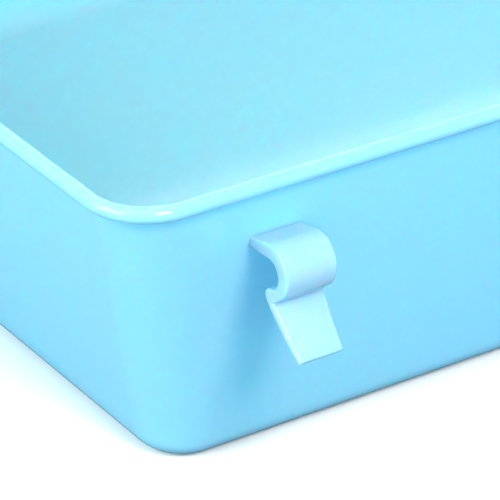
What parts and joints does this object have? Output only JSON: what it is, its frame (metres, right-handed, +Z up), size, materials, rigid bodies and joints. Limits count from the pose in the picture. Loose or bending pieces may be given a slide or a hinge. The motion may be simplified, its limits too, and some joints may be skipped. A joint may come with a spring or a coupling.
{
  "type": "storage tub with rail clips",
  "caption": "Open moulded storage tub with leaning walls, rounded corners, a rolled rim and springy hook clips that hang it on a round rail.",
  "frame": {"origin": "centre of the tub's flat underside", "axes": "+Z up out of the open top, +X along the long walls, -Y out of the front long wall, which carries the front pair of clips"},
  "size_m": [0.4658, 0.3298, 0.095],
  "materials": {
    "tub_plastic": "satin",
    "clip_plastic": "satin"
  },
  "bodies": {
    "tub": {"tub": "tub_plastic"},
    "clip_front_left": {"clip_front_left": "clip_plastic"},
    "clip_front_right": {"clip_front_right": "clip_plastic"},
    "clip_back_left": {"clip_back_left": "clip_plastic"},
    "clip_back_right": {"clip_back_right": "clip_plastic"}
  },
  "joints": [
    {"name": "clip_front_left_flex", "type": "hinge", "parent": "tub", "child": "clip_front_left", "pos_m": [-0.1845, -0.1451, 0.0762], "axis": [-1, 0, 0], "range_deg": [0, 10], "stiffness_Nm_per_rad": 1.5},
    {"name": "clip_front_right_flex", "type": "hinge", "parent": "tub", "child": "clip_front_right", "pos_m": [0.1845, -0.1451, 0.0762], "axis": [-1, 0, 0], "range_deg": [0, 10], "stiffness_Nm_per_rad": 1.5},
    {"name": "clip_back_left_flex", "type": "hinge", "parent": "tub", "child": "clip_back_left", "pos_m": [-0.1845, 0.1451, 0.0762], "axis": [1, 0, 0], "range_deg": [0, 10], "stiffness_Nm_per_rad": 1.5},
    {"name": "clip_back_right_flex", "type": "hinge", "parent": "tub", "child": "clip_back_right", "pos_m": [0.1845, 0.1451, 0.0762], "axis": [1, 0, 0], "range_deg": [0, 10], "stiffness_Nm_per_rad": 1.5}
  ]
}
